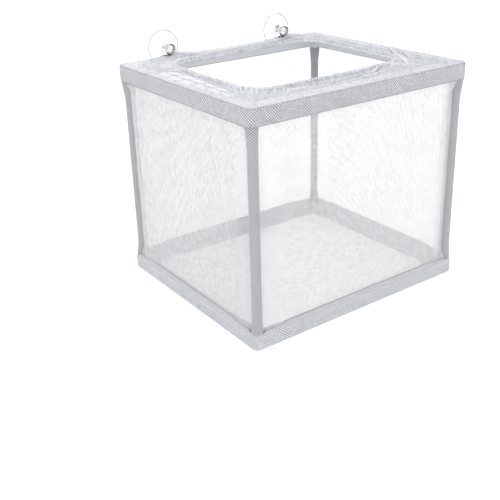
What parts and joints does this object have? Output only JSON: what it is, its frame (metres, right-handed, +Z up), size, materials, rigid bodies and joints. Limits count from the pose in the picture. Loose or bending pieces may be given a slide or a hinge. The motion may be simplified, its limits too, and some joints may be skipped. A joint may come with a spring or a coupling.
{
  "type": "fish breeding box",
  "caption": "Net breeding box for an aquarium: plug-together rod frame in a net cover with woven tape edges, a gathered elastic mouth and suction cups that hold it on the glass.",
  "frame": {"origin": "centre of the cover's base, on the surface it stands on", "axes": "+X along the long side, +Y towards the glass (the side with the suction cups), +Z up"},
  "size_m": [0.16, 0.1423, 0.155],
  "materials": {
    "connector_plastic": "moulded white polypropylene, semi-gloss",
    "rod_plastic": "extruded white plastic rod",
    "woven_tape": "dense woven polyester binding tape, light grey-white, fine diagonal weave",
    "knitted_net": "very fine white knitted net, sheer",
    "flap_net": "the same white net, doubled and gathered",
    "hem_cloth": "net rolled and overlocked round the elastic",
    "elastic": "covered round elastic cord",
    "clip_plastic": "moulded natural plastic, slightly translucent",
    "clear_vinyl": "clear soft vinyl, glossy"
  },
  "bodies": {
    "frame_and_cover": {"connector_bottom_front_left": "connector_plastic", "connector_bottom_front_right": "connector_plastic", "connector_bottom_back_left": "connector_plastic", "connector_bottom_back_right": "connector_plastic", "connector_top_front_left": "connector_plastic", "connector_top_front_right": "connector_plastic", "connector_top_back_left": "connector_plastic", "connector_top_back_right": "connector_plastic", "rod_bottom_front": "rod_plastic", "rod_bottom_back": "rod_plastic", "rod_bottom_left": "rod_plastic", "rod_bottom_right": "rod_plastic", "rod_top_front": "rod_plastic", "rod_top_back": "rod_plastic", "rod_top_left": "rod_plastic", "rod_top_right": "rod_plastic", "rod_upright_front_left": "rod_plastic", "rod_upright_front_right": "rod_plastic", "rod_upright_back_left": "rod_plastic", "rod_upright_back_right": "rod_plastic", "bottom_band": "woven_tape", "top_band": "woven_tape", "sleeve_front_left": "woven_tape", "sleeve_front_right": "woven_tape", "sleeve_back_left": "woven_tape", "sleeve_back_right": "woven_tape", "net_front": "knitted_net", "net_back": "knitted_net", "net_left": "knitted_net", "net_right": "knitted_net", "net_floor": "knitted_net", "top_flap": "flap_net", "mouth_hem": "hem_cloth", "mouth_elastic": "elastic"},
    "left_clip": {"clip_left": "clip_plastic"},
    "left_cup": {"suction_cup_left": "clear_vinyl"},
    "right_clip": {"clip_right": "clip_plastic"},
    "right_cup": {"suction_cup_right": "clear_vinyl"}
  },
  "joints": [
    {"name": "clip_left_rock", "type": "hinge", "parent": "frame_and_cover", "child": "left_clip", "pos_m": [-0.0454, 0.065, 0.1327], "axis": [1, 0, 0], "range_deg": [-12, 4]},
    {"name": "cup_left_spin", "type": "hinge", "parent": "left_clip", "child": "left_cup", "pos_m": [-0.0454, 0.065, 0.144], "axis": [0, 1, 0], "continuous": true},
    {"name": "clip_right_rock", "type": "hinge", "parent": "frame_and_cover", "child": "right_clip", "pos_m": [0.0454, 0.065, 0.1327], "axis": [1, 0, 0], "range_deg": [-12, 4]},
    {"name": "cup_right_spin", "type": "hinge", "parent": "right_clip", "child": "right_cup", "pos_m": [0.0454, 0.065, 0.144], "axis": [0, 1, 0], "continuous": true}
  ]
}
